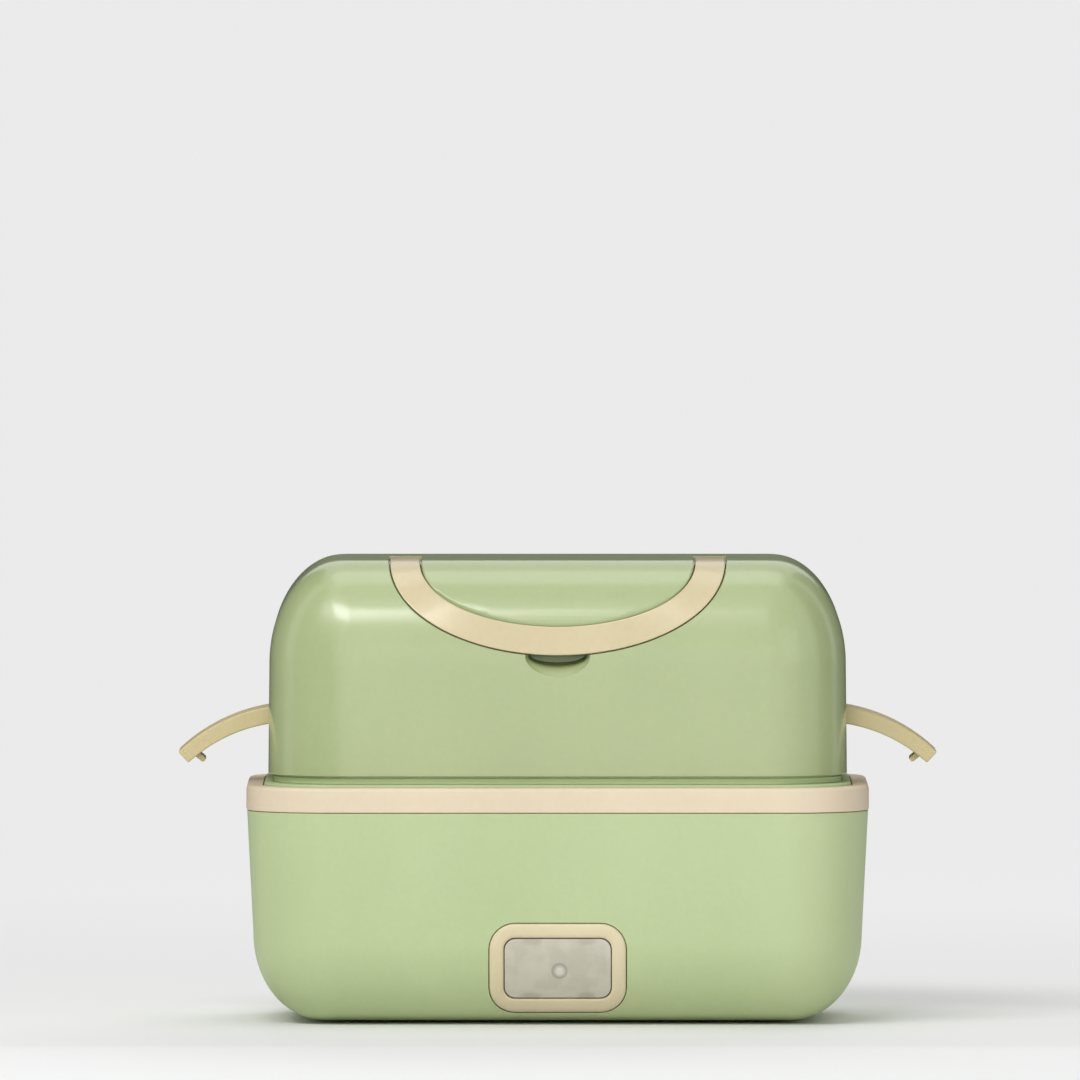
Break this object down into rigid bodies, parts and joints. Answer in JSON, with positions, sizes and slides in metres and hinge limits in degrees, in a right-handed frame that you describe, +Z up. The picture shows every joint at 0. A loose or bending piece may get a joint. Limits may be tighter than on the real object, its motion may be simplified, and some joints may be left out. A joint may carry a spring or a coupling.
{
  "type": "electric lunch box",
  "caption": "Rounded electric lunch box: heated body, steel trays with translucent covers, middle tier, and a deep lid held by side latches with a folding handle.",
  "frame": {"origin": "on the surface the box stands on, under the middle of the box", "axes": "+Z up, front (push button and folded handle) on -Y, +X to the right of a viewer who faces the front"},
  "size_m": [0.2932, 0.14, 0.1785],
  "materials": {
    "shell_green": "fine satin moulded plastic, soft green",
    "lid_green": "fine satin moulded plastic, soft green",
    "cream": "smooth moulded plastic, cream",
    "steel": "polished stainless sheet",
    "cover": "frosted translucent plastic, teal",
    "window": "smoky translucent plastic",
    "seal": "soft silicone",
    "foot": "matt rubber",
    "aluminium": "cast, as made",
    "zinc": "zinc plated",
    "ceramic": "fired ceramic",
    "dark_plastic": "moulded plastic, black",
    "board": "solder mask",
    "lamp": "clear resin",
    "brass": "plain",
    "wire_red": "silicone sleeve",
    "wire_white": "silicone sleeve",
    "fuse": "lacquered"
  },
  "bodies": {
    "base": {"body_shell": "shell_green", "body_rim": "cream", "rim_seal": "seal", "heating_pan": "steel", "pan_gasket": "seal", "heater_plate": "aluminium", "ptc_stones": "ceramic", "heater_clamp": "zinc", "clamp_nuts": "zinc", "thermostat": "zinc", "thermal_fuse": "fuse", "circuit_board": "board", "tact_switch": "dark_plastic", "indicator_leds": "lamp", "board_screws": "zinc", "switch_bezel": "cream", "inlet_socket": "dark_plastic", "inlet_pins": "brass", "mains_wires": "wire_red", "heater_wires": "wire_white", "bottom_cover": "shell_green", "cover_screws": "zinc", "feet": "foot"},
    "push_button": {"button_cap": "window", "switch_plunger": "dark_plastic"},
    "lower_tray": {"lower_tray": "steel"},
    "lower_cover": {"lower_cover": "cover"},
    "middle_tier": {"middle_tier": "lid_green"},
    "upper_tray": {"upper_tray": "steel"},
    "upper_cover": {"upper_cover": "cover"},
    "lid": {"lid_shell": "lid_green", "lid_frame": "lid_green", "lid_seal": "seal", "lid_liner": "lid_green", "liner_screws": "zinc", "handle_pins": "zinc", "latch_pins": "zinc"},
    "handle": {"handle": "cream"},
    "left_latch": {"left_latch": "cream"},
    "right_latch": {"right_latch": "cream"}
  },
  "joints": [
    {"name": "button_press", "type": "slide", "parent": "base", "child": "push_button", "axis": [0, -1, 0], "range_m": [-0.001, 0], "stiffness_N_per_m": 400, "springref_m": 0.001},
    {"name": "lower_tray_lift", "type": "slide", "parent": "base", "child": "lower_tray", "axis": [0, 0, 1], "range_m": [0, 0.0655]},
    {"name": "lower_cover_lift", "type": "slide", "parent": "lower_tray", "child": "lower_cover", "axis": [0, 0, 1], "range_m": [0, 0.01]},
    {"name": "middle_tier_lift", "type": "slide", "parent": "lower_cover", "child": "middle_tier", "axis": [0, 0, 1], "range_m": [0, 0.003]},
    {"name": "upper_tray_lift", "type": "slide", "parent": "middle_tier", "child": "upper_tray", "axis": [0, 0, 1], "range_m": [0, 0.048]},
    {"name": "upper_cover_lift", "type": "slide", "parent": "upper_tray", "child": "upper_cover", "axis": [0, 0, 1], "range_m": [0, 0.018]},
    {"name": "lid_lift", "type": "slide", "parent": "upper_cover", "child": "lid", "axis": [0, 0, 1], "range_m": [0, 0.0435]},
    {"name": "handle_swing", "type": "hinge", "parent": "lid", "child": "handle", "pos_m": [0, 0, 0.1753], "axis": [1, 0, 0], "range_deg": [-113, 0]},
    {"name": "left_latch_swing", "type": "hinge", "parent": "lid", "child": "left_latch", "pos_m": [-0.108, 0, 0.118], "axis": [0, 1, 0], "range_deg": [-39.5, 0]},
    {"name": "right_latch_swing", "type": "hinge", "parent": "lid", "child": "right_latch", "pos_m": [0.108, 0, 0.118], "axis": [0, -1, 0], "range_deg": [-39.5, 0]}
  ]
}
